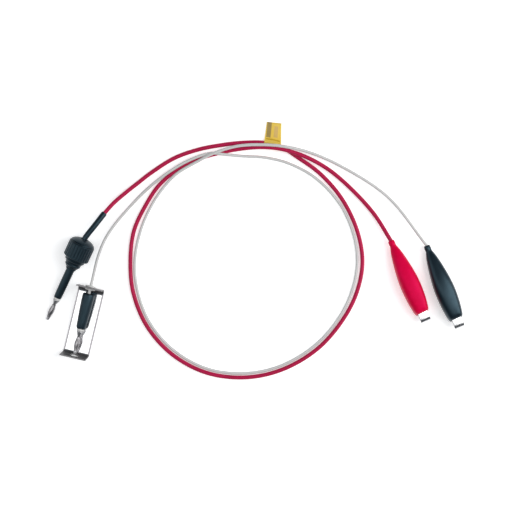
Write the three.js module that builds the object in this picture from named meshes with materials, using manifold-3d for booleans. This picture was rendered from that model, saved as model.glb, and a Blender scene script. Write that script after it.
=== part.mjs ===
// A pair of high-voltage test leads, laid out flat in one loose loop.
// The hv lead runs from a screw-locked banana plug to a booted alligator clip, and the thinner
// return lead runs from a banana plug in a sheet-metal bracket to a second booted clip.
// Units are millimetres, +Z is up, the leads lie on z = 0, and the origin is the middle of the
// box around the plugs and clips.
import * as THREE from "three";
import { mergeVertices } from "three/addons/utils/BufferGeometryUtils.js";
import Module from "manifold-3d";

const wasm = await Module();
wasm.setup();

// Driving dimensions.
const GAP = 0.3;
const HV_LEAD_R = 2.1;
const RETURN_LEAD_R = 1.5;
const HV_CONDUCTOR_R = 0.8;
const RETURN_CONDUCTOR_R = 0.6;
const LEAD_SIDES = 8;
const LEAD_STEPS = 80;
const ROUND_SIDES = 24;

const HV_PLUG = { at: [-170.1, 46.7, 16.5], heading: -116.2, pitch: 9.25 };
const RETURN_PLUG = { at: [-166.4, -8.2, 10.5], heading: -103.5, pitch: 0 };
const HV_CLIP = { at: [139.1, 45.0, 0], heading: -66.6 };
const RETURN_CLIP = { at: [175.4, 39.8, 0], heading: -68.2 };

const RING_R = 13.2;
const RING_RIBS = 24;
// The lock ring's nose: (distance along the plug, radius), from the ring's front face on.
const NOSE = [
  [20, 10.4], [24.8, 10.1], [25.4, 8.6], [27.2, 8.3], [27.5, 7.7], [28.1, 7.7], [28.4, 8.1],
  [29.6, 7.9], [30.2, 7.0], [31.3, 6.6], [32.4, 5.4],
];
const HV_TUBE_R = 4.2;
const HV_TUBE_END = 66.6;
const HANDLE_LENGTH = 36.6;
const PIN_STEM_R = 1.55;
const PIN_BORE_R = 1.9;
const PIN_TIP = 26.0;

const BRACKET_WIDTH = 26.5;
const BRACKET_SHEET = 1.2;
const BRACKET_HEIGHT = 20.5;
const REAR_BEND_R = 6.0;
const FRONT_BEND_R = 2.5;
const BRACKET_REAR = -6.7;
const BRACKET_FRONT_BEND = 60.65;
const BRACKET_LEAN = 6;
const GROMMET_HOLE_R = 4.2;
const PIN_HOLE_R = 4.5;

const JAW_SHEET = 0.8;
const UPPER_JAW_WIDTH = 10.0;
const LOWER_JAW_WIDTH = UPPER_JAW_WIDTH - 2 * JAW_SHEET - 2 * GAP;
const PIVOT = { s: 57, z: 9.3 };
const RIVET_R = 1.3;
const CLIP_SCREW_S = 27;
const TOOTH_PITCH = 2.5;
const TEETH = 6;

// The leads' routes, chosen by hand: x, y and height of the centre line.
const HV_ROUTE = [
  [-150.6, 73.1, 12.0], [-142.0, 83.2, 8.6], [-131.8, 92.7, 5.0], [-119.0, 103.2, 2.7],
  [-102.7, 115.8, 2.2], [-80.3, 129.7, 2.2], [-55.8, 138.3, 2.2], [-32.3, 142.8, 2.2],
  [-9.9, 145.2, 2.4], [10.5, 145.0, 3.1], [27.8, 140.7, 3.1], [44.2, 130.6, 2.4],
  [67.6, 113.6, 2.2], [90.1, 87.4, 2.2], [105.4, 55.3, 2.2], [110.7, 23.7, 2.2],
  [105.0, -6.9, 2.2], [91.1, -34.5, 2.2], [65.6, -64.1, 2.2], [29.9, -85.5, 2.2],
  [-7.9, -93.8, 2.2], [-47.6, -89.2, 2.2], [-82.3, -71.0, 2.2], [-108.3, -42.4, 2.2],
  [-122.3, -9.0, 2.2], [-125.6, 20.6, 2.2], [-122.3, 54.3, 2.2], [-110.4, 80.8, 2.2],
  [-96.6, 101.6, 2.2], [-79.3, 116.5, 2.2], [-60.9, 126.7, 2.2], [-37.4, 134.2, 2.2],
  [-14.0, 138.7, 3.0], [8.5, 140.2, 6.3], [29.9, 137.7, 8.2], [53.3, 130.2, 5.8],
  [76.8, 117.3, 2.8], [100.3, 97.1, 2.3], [122.7, 72.1, 3.0], [138.8, 45.7, 7.0],
];
const RETURN_ROUTE = [
  [-166.3, -7.8, 10.5], [-162.2, 9.4, 10.5], [-158.0, 26.8, 10.4], [-151.7, 44.6, 7.6],
  [-143.0, 59.4, 4.2], [-129.2, 76.5, 2.2], [-108.8, 97.4, 3.4], [-83.3, 116.9, 6.0],
  [-62.9, 128.1, 6.0], [-43.6, 134.0, 6.2], [-29.3, 132.8, 5.7], [-10.9, 131.4, 2.3],
  [10.5, 130.2, 1.7], [35.0, 124.4, 1.6], [63.5, 108.8, 1.6], [89.0, 80.8, 1.6],
  [103.3, 45.1, 1.6], [104.6, 13.5, 1.6], [92.1, -24.3, 1.6], [65.6, -58.4, 1.6],
  [29.9, -81.1, 1.6], [-7.9, -89.7, 1.6], [-46.6, -85.3, 1.6], [-79.8, -67.6, 1.6],
  [-104.8, -40.1, 1.6], [-118.0, -7.6, 1.6], [-121.2, 23.7, 1.6], [-115.0, 56.3, 1.6],
  [-103.7, 81.8, 1.9], [-91.5, 99.7, 3.4], [-78.2, 113.2, 5.8], [-56.8, 125.8, 6.2],
  [-39.0, 134.4, 9.9], [-16.0, 140.9, 10.6], [8.5, 142.2, 11.2], [31.9, 140.2, 11.6],
  [59.5, 134.0, 5.0], [93.1, 118.9, 2.2], [137.0, 89.5, 2.0], [175.1, 40.6, 7.0],
];

// Materials.
function material(color, roughness, metalness = 0) {
  return new THREE.MeshStandardMaterial({ color, roughness, metalness });
}

const BLACK_PLASTIC = material(0x14191f, 0.45);
const BLACK_VINYL = material(0x151b22, 0.35);
const RED_VINYL = material(0xd00f3c, 0.35);
const RED_LEAD = material(0xb5123f, 0.5);
const WHITE_LEAD = material(0xd6d6d4, 0.5);
const WHITE_PLASTIC = material(0xeeeeea, 0.4);
const NICKEL = material(0xc9cacd, 0.22, 1);
const BRIGHT_STEEL = material(0xd2d4d6, 0.15, 1);
const SPRING_STEEL = material(0x9b9da0, 0.3, 1);
const COPPER = material(0xb87048, 0.35, 1);
const YELLOW_LABEL = material(0xe8b820, 0.55);

// Geometry helpers.
function merged(geometry) {
  geometry.deleteAttribute("normal");
  geometry.deleteAttribute("uv");
  return mergeVertices(geometry, 1e-4);
}

function solid(geometry) {
  const closed = merged(geometry);
  return new wasm.Manifold(new wasm.Mesh({
    numProp: 3,
    vertProperties: new Float32Array(closed.attributes.position.array),
    triVerts: new Uint32Array(closed.index.array),
  }));
}

function geometryOf(manifold) {
  const mesh = manifold.getMesh();
  const geometry = new THREE.BufferGeometry();
  geometry.setAttribute("position", new THREE.BufferAttribute(mesh.vertProperties, 3));
  geometry.setIndex(new THREE.BufferAttribute(mesh.triVerts, 1));
  return geometry;
}

// A body of revolution about the local X axis; the profile is a list of [s, r] that runs
// from low s to high s on the outside and comes back along the bore or the axis.
function lathe(profile, sides = ROUND_SIDES) {
  const points = profile.map(([s, r]) => new THREE.Vector2(r, s));
  if (profile[0][1] > 0) points.push(points[0].clone());
  const geometry = new THREE.LatheGeometry(points, sides);
  geometry.rotateZ(-Math.PI / 2);
  return geometry;
}

// A prism with an outline in the s-z plane, centred on y = 0.
function prism(outline, width) {
  const shape = new THREE.Shape(outline.map(([s, z]) => new THREE.Vector2(s, z)));
  const geometry = new THREE.ExtrudeGeometry(shape, { depth: width, bevelEnabled: false });
  geometry.rotateX(Math.PI / 2);
  geometry.translate(0, width / 2, 0);
  return geometry;
}

function ringPoints(radius, sides) {
  const points = [];
  for (let i = 0; i < sides; i += 1) {
    const angle = (2 * Math.PI * i) / sides;
    points.push(new THREE.Vector2(radius * Math.cos(angle), radius * Math.sin(angle)));
  }
  return points;
}

function tube(curve, radius, steps, sides, bore = 0) {
  const shape = new THREE.Shape(ringPoints(radius, sides));
  if (bore > 0) shape.holes.push(new THREE.Path(ringPoints(bore, sides)));
  return new THREE.ExtrudeGeometry(shape, { steps, bevelEnabled: false, extrudePath: curve });
}

function arc(centre, radius, fromDeg, toDeg, pieces) {
  const points = [];
  for (let i = 0; i <= pieces; i += 1) {
    const angle = THREE.MathUtils.degToRad(fromDeg + ((toDeg - fromDeg) * i) / pieces);
    points.push([centre[0] + radius * Math.cos(angle), centre[1] + radius * Math.sin(angle)]);
  }
  return points;
}

function curveThrough(points) {
  const vectors = points.map((point) => new THREE.Vector3(...point));
  return new THREE.CatmullRomCurve3(vectors, false, "centripetal");
}

const object = new THREE.Group();

function add(group, name, geometry, meshMaterial) {
  const mesh = new THREE.Mesh(geometry, meshMaterial);
  mesh.name = name;
  group.add(mesh);
  return mesh;
}

// A group whose +X axis points along the heading and, by the pitch, down towards the table.
function placed({ at, heading, pitch = 0 }) {
  const group = new THREE.Group();
  group.rotation.order = "ZYX";
  group.rotation.set(0, THREE.MathUtils.degToRad(pitch), THREE.MathUtils.degToRad(heading));
  group.position.set(...at);
  group.updateMatrixWorld(true);
  object.add(group);
  return group;
}

// The 4 mm banana pin with its insulating washer and spring basket, from s = front.
function addPin(group, prefix, front) {
  const at = (profile) => profile.map(([s, r]) => [front + s, r]);
  const washer = at([
    [GAP, 3.6], [0.6, 3.9], [1.9, 3.9], [1.9, PIN_BORE_R], [GAP, PIN_BORE_R],
  ]);
  add(group, `${prefix}_pin_insulator`, lathe(washer), WHITE_PLASTIC);
  const cup = 14.5;
  const core = at([
    [-cup, 1.05], [-cup, PIN_STEM_R], [2.2, PIN_STEM_R], [2.2, 3.3], [3.0, 3.5], [7.6, 1.9],
    [8.0, 1.35], [22.8, 1.35], [22.8, 1.75], [24.6, 1.75], [25.6, 1.2], [PIN_TIP, 0],
    [-cup + 5, 0], [-cup + 5, 1.05],
  ]);
  const cupFirst = core.slice(-2).concat(core.slice(0, -2));
  add(group, `${prefix}_pin`, lathe(cupFirst), NICKEL);
  const basket = at([
    [8.3, 2.0], [10.5, 2.05], [13.0, 2.55], [15.5, 2.8], [18.0, 2.55], [20.5, 2.05], [22.5, 2.0],
    [22.5, 1.66], [20.5, 1.7], [18.0, 2.2], [15.5, 2.45], [13.0, 2.2], [10.5, 1.7], [8.3, 1.66],
  ]);
  let spring = solid(lathe(basket));
  for (let i = 0; i < 3; i += 1) {
    const slot = new THREE.BoxGeometry(10.6, 8, 0.6);
    slot.translate(front + 15.4, 0, 0);
    slot.rotateX((Math.PI * i) / 3 + 0.1);
    spring = spring.subtract(solid(slot));
  }
  add(group, `${prefix}_pin_spring`, geometryOf(spring), SPRING_STEEL);
}

// The screw-locked plug of the hv lead.
function ribbedRing(length) {
  const outline = [];
  const perRib = 4;
  for (let i = 0; i < RING_RIBS * perRib; i += 1) {
    const angle = (2 * Math.PI * i) / (RING_RIBS * perRib);
    const raised = [0, 0.8, 1, 0.8][i % perRib];
    const radius = RING_R - 0.7 * (1 - raised);
    outline.push(new THREE.Vector2(radius * Math.cos(angle), radius * Math.sin(angle)));
  }
  const shape = new THREE.Shape(outline);
  const geometry = new THREE.ExtrudeGeometry(shape, { depth: length, bevelEnabled: false });
  geometry.rotateY(Math.PI / 2);
  return geometry;
}

const hvPlug = placed(HV_PLUG);

function addLockRing() {
  const ringStart = 5.0;
  const ringEnd = 21.2;
  const ribs = ribbedRing(ringEnd - ringStart);
  ribs.translate(ringStart, 0, 0);
  const nose = [[20, 0], ...NOSE, [32.4, 0]];
  const hollow = [[4, 0], [4, 9.2], [14, 9.2], [14, HV_TUBE_R + 0.4], [34, HV_TUBE_R + 0.4], [34, 0]];
  const ring = solid(ribs).add(solid(lathe(nose))).subtract(solid(lathe(hollow)));
  add(hvPlug, "hv_lock_ring", geometryOf(ring), BLACK_PLASTIC);
  const cap = [
    [0, 3.6], [0.3, 5.0], [1.2, 8.2], [2.4, 10.8], [3.8, 12.2], [4.7, 12.7], [4.7, 3.6],
  ];
  add(hvPlug, "hv_lock_ring_cap", lathe(cap, 36), BLACK_PLASTIC);
}

function addHvBody() {
  const flangeR = 8.6;
  const body = [
    [5.6, 2.5], [5.6, flangeR], [13.4, flangeR], [13.4, HV_TUBE_R], [HV_TUBE_END - 0.6, HV_TUBE_R],
    [HV_TUBE_END, HV_TUBE_R - 0.5], [HV_TUBE_END, PIN_BORE_R], [45, PIN_BORE_R], [45, 2.5],
  ];
  add(hvPlug, "hv_plug_body", lathe(body), BLACK_PLASTIC);
  const snapRing = [
    [32.8, HV_TUBE_R + GAP], [32.8, 5.0], [33.1, 5.3], [33.7, 5.3], [34.0, 5.0],
    [34.0, HV_TUBE_R + GAP],
  ];
  add(hvPlug, "hv_retaining_ring", lathe(snapRing), BLACK_PLASTIC);
  addPin(hvPlug, "hv", HV_TUBE_END);
  const conductor = [[43, 0], [43, HV_CONDUCTOR_R], [56.4, HV_CONDUCTOR_R], [56.4, 0]];
  add(hvPlug, "hv_conductor", lathe(conductor, 12), COPPER);
}

// The sleeve bends from the plug's axis to the lead's first direction, and the lead runs in it.
function addHvSleeve() {
  const onAxis = (s) => hvPlug.localToWorld(new THREE.Vector3(s, 0, 0)).toArray();
  const bend = [-159.5, 61.0, 15.4];
  const mouth = [-150.9, 72.75, 12.1];
  const sleeve = curveThrough([onAxis(5.2), onAxis(-1), bend, mouth]);
  add(object, "hv_cable_sleeve", tube(sleeve, 2.95, 12, 12, HV_LEAD_R + 0.35), BLACK_VINYL);
  const lead = curveThrough([onAxis(42.4), onAxis(24), onAxis(5.2), onAxis(-1), bend, mouth]);
  add(object, "hv_lead_tail", tube(lead, HV_LEAD_R - 0.05, 20, 12), RED_LEAD);
}

addLockRing();
addHvBody();
addHvSleeve();

// The return lead's plug, with the bracket and its grommet.
const returnPlug = placed(RETURN_PLUG);

function addReturnPlug() {
  const handle = [
    [0, PIN_BORE_R], [0, 5.2], [0.7, 5.9], [1.8, 6.2], [9, 6.15], [22, 5.6], [34.4, 4.9],
    [36.0, 4.5], [HANDLE_LENGTH, 3.9], [HANDLE_LENGTH, PIN_BORE_R],
  ];
  add(returnPlug, "return_plug_handle", lathe(handle), BLACK_PLASTIC);
  addPin(returnPlug, "return", HANDLE_LENGTH);
  const tail = [[GAP, 0], [GAP, RETURN_LEAD_R], [15, RETURN_LEAD_R], [15, 0]];
  add(returnPlug, "return_lead_tail", lathe(tail, 12), WHITE_LEAD);
  const conductor = [[15.3, 0], [15.3, RETURN_CONDUCTOR_R], [26.4, RETURN_CONDUCTOR_R], [26.4, 0]];
  add(returnPlug, "return_conductor", lathe(conductor, 12), COPPER);
}

// The bracket's sheet, bent up at both ends; z is measured from the table.
function bracketOutline() {
  const rearOuterR = REAR_BEND_R + BRACKET_SHEET;
  const frontOuterR = FRONT_BEND_R + BRACKET_SHEET;
  const rear = [BRACKET_REAR + rearOuterR, rearOuterR];
  const front = [BRACKET_FRONT_BEND, frontOuterR];
  const lean = THREE.MathUtils.degToRad(BRACKET_LEAN);
  const flangeTop = (radius) => {
    const start = front[0] + radius * Math.cos(lean);
    const rise = BRACKET_HEIGHT - (front[1] - radius * Math.sin(lean));
    return [start + rise * Math.tan(lean), BRACKET_HEIGHT];
  };
  return [
    [BRACKET_REAR, BRACKET_HEIGHT],
    ...arc(rear, rearOuterR, 180, 270, 6),
    ...arc(front, frontOuterR, 270, 360 - BRACKET_LEAN, 6),
    flangeTop(frontOuterR),
    flangeTop(FRONT_BEND_R),
    ...arc(front, FRONT_BEND_R, 360 - BRACKET_LEAN, 270, 6),
    ...arc(rear, REAR_BEND_R, 270, 180, 6),
    [BRACKET_REAR + BRACKET_SHEET, BRACKET_HEIGHT],
  ];
}

function addBracket() {
  const sheet = prism(bracketOutline(), BRACKET_WIDTH);
  sheet.translate(0, 0, -RETURN_PLUG.at[2]);
  const rearHole = lathe([[-10, 0], [-10, GROMMET_HOLE_R], [1, GROMMET_HOLE_R], [1, 0]]);
  const frontHole = lathe([[60, 0], [60, PIN_HOLE_R], [70, PIN_HOLE_R], [70, 0]]);
  const bracket = solid(sheet).subtract(solid(rearHole)).subtract(solid(frontHole));
  add(returnPlug, "return_bracket", geometryOf(bracket), BRIGHT_STEEL);
  const grommet = [
    [-8.2, 2.1], [-8.2, 4.6], [-7.7, 5.3], [-7.0, 5.3], [-7.0, GROMMET_HOLE_R - GAP],
    [-4.9, GROMMET_HOLE_R - GAP], [-4.9, 5.3], [-4.2, 5.3], [-3.7, 4.6], [-3.7, 2.1],
  ];
  add(returnPlug, "return_grommet", lathe(grommet), WHITE_PLASTIC);
}

addReturnPlug();
addBracket();

// The boots: [s, width, height, height of the centre, roundness], from the neck to the mouth.
const BOOT = [
  [0, 6.2, 6.2, 7.0, 2], [3, 6.7, 6.7, 7.0, 2], [5.2, 6.5, 6.5, 7.1, 2], [8, 8.2, 7.8, 7.2, 2.1],
  [12, 10.6, 9.8, 7.4, 2.2], [20, 13.9, 13.0, 8.0, 2.6], [30, 17.0, 16.0, 8.7, 3],
  [40, 19.4, 18.2, 9.2, 3], [50, 20.4, 18.8, 9.4, 3], [60, 19.8, 18.6, 9.3, 3],
  [70, 17.8, 17.4, 9.2, 3],
  [76, 15.4, 16.0, 9.2, 3], [79, 13.8, 15.0, 9.2, 3],
];
const BOOT_HOLLOW = [
  [-2, 4.9, 4.9, 7.0, 2], [8, 4.9, 4.9, 7.25, 2], [12, 6.6, 6.0, 7.4, 2.2],
  [20, 10.4, 9.8, 8.0, 2.6], [30, 14.2, 13.4, 8.7, 3], [40, 17.0, 16.0, 9.2, 3],
  [50, 18.1, 16.6, 9.4, 3], [60, 17.6, 16.4, 9.3, 3], [70, 15.6, 15.2, 9.2, 3],
  [79, 11.6, 12.8, 9.2, 3], [82, 11.6, 12.8, 9.2, 3],
];

function loft(stations, sides = ROUND_SIDES) {
  const positions = [];
  const faces = [];
  for (const [s, width, height, centre, roundness] of stations) {
    for (let i = 0; i < sides; i += 1) {
      const angle = (2 * Math.PI * i) / sides;
      const across = Math.sign(Math.cos(angle)) * Math.abs(Math.cos(angle)) ** (2 / roundness);
      const up = Math.sign(Math.sin(angle)) * Math.abs(Math.sin(angle)) ** (2 / roundness);
      positions.push(s, (width / 2) * across, centre + (height / 2) * up);
    }
  }
  for (let ring = 0; ring + 1 < stations.length; ring += 1) {
    for (let i = 0; i < sides; i += 1) {
      const a = ring * sides + i;
      const b = ring * sides + ((i + 1) % sides);
      faces.push(a, b, a + sides, b, b + sides, a + sides);
    }
  }
  const last = (stations.length - 1) * sides;
  const first = stations[0];
  const end = stations[stations.length - 1];
  const firstCentre = positions.length / 3;
  positions.push(first[0], 0, first[3], end[0], 0, end[3]);
  for (let i = 0; i < sides; i += 1) {
    const next = (i + 1) % sides;
    faces.push(firstCentre, next, i);
    faces.push(firstCentre + 1, last + i, last + next);
  }
  const geometry = new THREE.BufferGeometry();
  geometry.setAttribute("position", new THREE.Float32BufferAttribute(positions, 3));
  geometry.setIndex(faces);
  return geometry;
}

function teeth(rootZ, tipZ, fromS, direction) {
  const points = [];
  for (let i = 0; i < TEETH; i += 1) {
    const s = fromS + direction * i * TOOTH_PITCH;
    points.push([s, tipZ], [s + (direction * TOOTH_PITCH) / 2, rootZ]);
  }
  return points;
}

// A jaw is bent from sheet as a channel: its side outline, less the hollow between its walls.
function jaw(outline, hollow, width) {
  const pivotHole = new THREE.CylinderGeometry(RIVET_R + GAP, RIVET_R + GAP, 20, 16);
  pivotHole.translate(PIVOT.s, 0, PIVOT.z);
  const channel = solid(prism(outline, width)).subtract(solid(prism(hollow, width - 2 * JAW_SHEET)));
  return channel.subtract(solid(pivotHole));
}

function upperJaw() {
  const outline = [
    [33, 13.4], [33, 14.2], [48, 14.6], [60, 14.2], [74, 13.6], [84, 13.3],
    [86.4, 12.9], [88.2, 11.8], [89, 9.7], [88.2, 9.6],
    ...teeth(10.5, 9.6, 86.8, -1), [70, 9.8], [64, 8.0], [60.5, 5.9], [57, 5.2], [53.5, 5.9],
    [50, 10.0], [47, 13.7],
  ];
  const hollow = [
    [45, 2], [45, 13.75], [48, 13.8], [60, 13.4], [74, 12.8], [84, 12.5], [87.2, 11.4],
    [88.1, 9.9], [88.1, 2],
  ];
  return jaw(outline.reverse(), hollow.reverse(), UPPER_JAW_WIDTH);
}

function lowerJaw() {
  const outline = [
    [22, 4.4], [48, 3.4], [57, 4.0], [70, 4.8], [84, 5.3], [86.4, 5.8], [88.0, 6.8], [88.8, 8.9],
    [88.0, 9.0], ...teeth(8.1, 9.0, 86.8, -1), [70, 9.0], [63, 11.0], [60, 12.1], [57, 12.6],
    [54, 12.1], [50, 7.5], [46, 4.3], [22, 5.2],
  ];
  const hollow = [
    [46, 4.3], [48, 4.2], [57, 4.8], [70, 5.6], [84, 6.1], [87.1, 7.3], [87.95, 8.9],
    [87.95, 14], [46, 14],
  ];
  const screwHole = new THREE.CylinderGeometry(1.7, 1.7, 6, 16);
  screwHole.rotateX(Math.PI / 2);
  screwHole.translate(CLIP_SCREW_S, 0, 5);
  return jaw(outline, hollow, LOWER_JAW_WIDTH).subtract(solid(screwHole));
}

// The torsion spring: one leg on the lower jaw, three turns on the rivet, one leg up.
function springCurve() {
  const coilR = 2.75;
  const turns = 3;
  const perTurn = 10;
  const pitch = 1.15;
  const points = [[47.5, -(turns * pitch) / 2, 5.4]];
  for (let i = 0; i <= turns * perTurn; i += 1) {
    const angle = -Math.PI / 2 - (2 * Math.PI * i) / perTurn;
    const y = pitch * (i / perTurn - turns / 2);
    points.push([PIVOT.s - coilR * Math.cos(angle), y, PIVOT.z + coilR * Math.sin(angle)]);
  }
  points.push([61.0, (turns * pitch) / 2, 7.1]);
  return curveThrough(points);
}

const TOP_REGION = [[33.8, 13.8], [57, 9.9], [90, 9.9], [90, 40], [33.8, 40]];
const UNDER_REGION = [[-5, -5], [90, -5], [90, 9.1], [57, 9.1], [31.6, 5.2], [31.6, 40], [-5, 40]];

function addClip(prefix, place, leadR, conductorR, bootMaterial, leadMaterial) {
  const clip = placed(place);
  const shell = solid(loft(BOOT)).subtract(solid(loft(BOOT_HOLLOW)));
  const top = shell.intersect(solid(prism(TOP_REGION, 40)));
  const under = shell.intersect(solid(prism(UNDER_REGION, 40)));
  add(clip, `${prefix}_clip_boot`, geometryOf(under), bootMaterial);
  add(clip, `${prefix}_clip_boot_top`, geometryOf(top), bootMaterial);
  add(clip, `${prefix}_clip_upper_jaw`, geometryOf(upperJaw()), NICKEL);
  add(clip, `${prefix}_clip_lower_jaw`, geometryOf(lowerJaw()), NICKEL);
  const half = UPPER_JAW_WIDTH / 2 + GAP;
  const rivet = lathe([
    [-half - 0.8, 0], [-half - 0.8, 1.9], [-half - 0.4, 2.3], [-half, 2.3], [-half, RIVET_R],
    [half, RIVET_R], [half, 2.3], [half + 0.4, 2.3], [half + 0.8, 1.9], [half + 0.8, 0],
  ], 16);
  rivet.rotateZ(Math.PI / 2);
  rivet.translate(PIVOT.s, 0, PIVOT.z);
  add(clip, `${prefix}_clip_rivet`, rivet, NICKEL);
  add(clip, `${prefix}_clip_spring`, tube(springCurve(), 0.4, 70, 6), SPRING_STEEL);
  const screw = lathe([
    [3.3, 0], [3.3, 1.4], [7.5, 1.4], [7.5, 2.7], [9.0, 2.7], [9.5, 2.2], [9.5, 0],
  ], 16);
  screw.rotateY(-Math.PI / 2);
  screw.translate(CLIP_SCREW_S, 0, 0);
  add(clip, `${prefix}_clip_screw`, screw, BRIGHT_STEEL);
  const tail = curveThrough([[0.4, 0, 7.0], [8, 0, 7.25], [16.5, 0, 7.7]]);
  add(clip, `${prefix}_clip_lead_tail`, tube(tail, leadR, 4, 12), leadMaterial);
  const strand = curveThrough([[16.9, 0, 7.7], [21, 1.7, 7.0], [25, 2.6, 6.4], [30.5, 2.6, 6.2]]);
  add(clip, `${prefix}_clip_conductor`, tube(strand, conductorR, 8, 8), COPPER);
}

addClip("hv", HV_CLIP, HV_LEAD_R, HV_CONDUCTOR_R, RED_VINYL, RED_LEAD);
addClip("return", RETURN_CLIP, RETURN_LEAD_R, RETURN_CONDUCTOR_R, BLACK_VINYL, WHITE_LEAD);

// The two free leads, and the folded flag label on the hv lead.
add(object, "hv_lead", tube(curveThrough(HV_ROUTE), HV_LEAD_R, LEAD_STEPS, LEAD_SIDES), RED_LEAD);
const returnTube = tube(curveThrough(RETURN_ROUTE), RETURN_LEAD_R, LEAD_STEPS, LEAD_SIDES);
add(object, "return_lead", returnTube, WHITE_LEAD);

// The label is wrapped round the lead, so its loop follows the lead's own straight pieces.
function addLabel() {
  const innerR = 2.55;
  const outerR = 2.95;
  const section = [...arc([0, 0], outerR, 10, 350, 16), [25, -2.4], [25, -1.7]];
  const wrap = new THREE.Shape(section.map(([out, z]) => new THREE.Vector2(-z, out)));
  wrap.holes.push(new THREE.Path(ringPoints(innerR, 16)));
  const knots = curveThrough(HV_ROUTE).getSpacedPoints(LEAD_STEPS).slice(13, 17);
  const path = new THREE.CurvePath();
  for (let i = 0; i + 1 < knots.length; i += 1) {
    path.add(new THREE.LineCurve3(knots[i], knots[i + 1]));
  }
  const strip = new THREE.ExtrudeGeometry(wrap, { steps: 3, bevelEnabled: false, extrudePath: path });
  const corners = [[13.4, 166.7], [28.4, 165.0], [26.4, 134], [9.5, 136]];
  const outline = new THREE.Shape(corners.map(([x, y]) => new THREE.Vector2(x, y)));
  const cutter = new THREE.ExtrudeGeometry(outline, { depth: 20, bevelEnabled: false });
  add(object, "flag_label", geometryOf(solid(strip).intersect(solid(cutter))), YELLOW_LABEL);
}

addLabel();

export default object;
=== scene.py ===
"""A pair of high-voltage test leads, lying in one loose loop on a white table.

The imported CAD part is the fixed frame. The leads, boots, plugs, bracket, jaws and label are built
here in fine mesh on the same dimensions, and the small pieces inside them keep their CAD shape.
Lengths are in millimetres until MM turns them into metres.
"""

import math

import bmesh
import bpy
from mathutils import Matrix, Vector


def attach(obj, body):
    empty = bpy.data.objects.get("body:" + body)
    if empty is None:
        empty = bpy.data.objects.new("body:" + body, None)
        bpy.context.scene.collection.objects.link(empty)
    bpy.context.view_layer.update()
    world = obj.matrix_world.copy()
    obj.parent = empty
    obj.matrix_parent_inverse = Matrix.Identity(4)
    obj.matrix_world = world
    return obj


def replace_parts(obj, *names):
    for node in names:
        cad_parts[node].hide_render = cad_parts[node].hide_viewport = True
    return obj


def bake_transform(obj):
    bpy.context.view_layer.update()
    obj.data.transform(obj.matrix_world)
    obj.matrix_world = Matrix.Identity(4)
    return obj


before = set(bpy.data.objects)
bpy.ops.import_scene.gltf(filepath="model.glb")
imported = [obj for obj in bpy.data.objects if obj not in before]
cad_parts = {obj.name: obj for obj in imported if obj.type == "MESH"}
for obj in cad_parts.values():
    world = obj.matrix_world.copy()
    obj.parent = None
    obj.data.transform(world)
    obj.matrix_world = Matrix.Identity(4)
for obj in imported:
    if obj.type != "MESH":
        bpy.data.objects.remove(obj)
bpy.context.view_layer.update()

MM = 0.001

# Where the plugs and clips lie: a point on the axis, then the heading and the nose-down pitch in
# degrees.
HV_PLUG = {"at": (-170.1, 46.7, 16.5), "heading": -116.2, "pitch": 9.25}
RETURN_PLUG = {"at": (-166.4, -8.2, 10.5), "heading": -103.5, "pitch": 0}
HV_CLIP = {"at": (139.1, 45.0, 0), "heading": -66.6, "pitch": 0}
RETURN_CLIP = {"at": (175.4, 39.8, 0), "heading": -68.2, "pitch": 0}

HV_LEAD_R = 2.1
RETURN_LEAD_R = 1.5

# The leads' routes: x, y and height of the centre line.
HV_ROUTE = [
    (-150.6, 73.1, 12.0), (-142.0, 83.2, 8.6), (-131.8, 92.7, 5.0), (-119.0, 103.2, 2.7),
    (-102.7, 115.8, 2.2), (-80.3, 129.7, 2.2), (-55.8, 138.3, 2.2), (-32.3, 142.8, 2.2),
    (-9.9, 145.2, 2.4), (10.5, 145.0, 3.1), (27.8, 140.7, 3.1), (44.2, 130.6, 2.4),
    (67.6, 113.6, 2.2), (90.1, 87.4, 2.2), (105.4, 55.3, 2.2), (110.7, 23.7, 2.2),
    (105.0, -6.9, 2.2), (91.1, -34.5, 2.2), (65.6, -64.1, 2.2), (29.9, -85.5, 2.2),
    (-7.9, -93.8, 2.2), (-47.6, -89.2, 2.2), (-82.3, -71.0, 2.2), (-108.3, -42.4, 2.2),
    (-122.3, -9.0, 2.2), (-125.6, 20.6, 2.2), (-122.3, 54.3, 2.2), (-110.4, 80.8, 2.2),
    (-96.6, 101.6, 2.2), (-79.3, 116.5, 2.2), (-60.9, 126.7, 2.2), (-37.4, 134.2, 2.2),
    (-14.0, 138.7, 3.0), (8.5, 140.2, 6.3), (29.9, 137.7, 8.2), (53.3, 130.2, 5.8),
    (76.8, 117.3, 2.8), (100.3, 97.1, 2.3), (122.7, 72.1, 3.0), (138.8, 45.7, 7.0),
]
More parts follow.
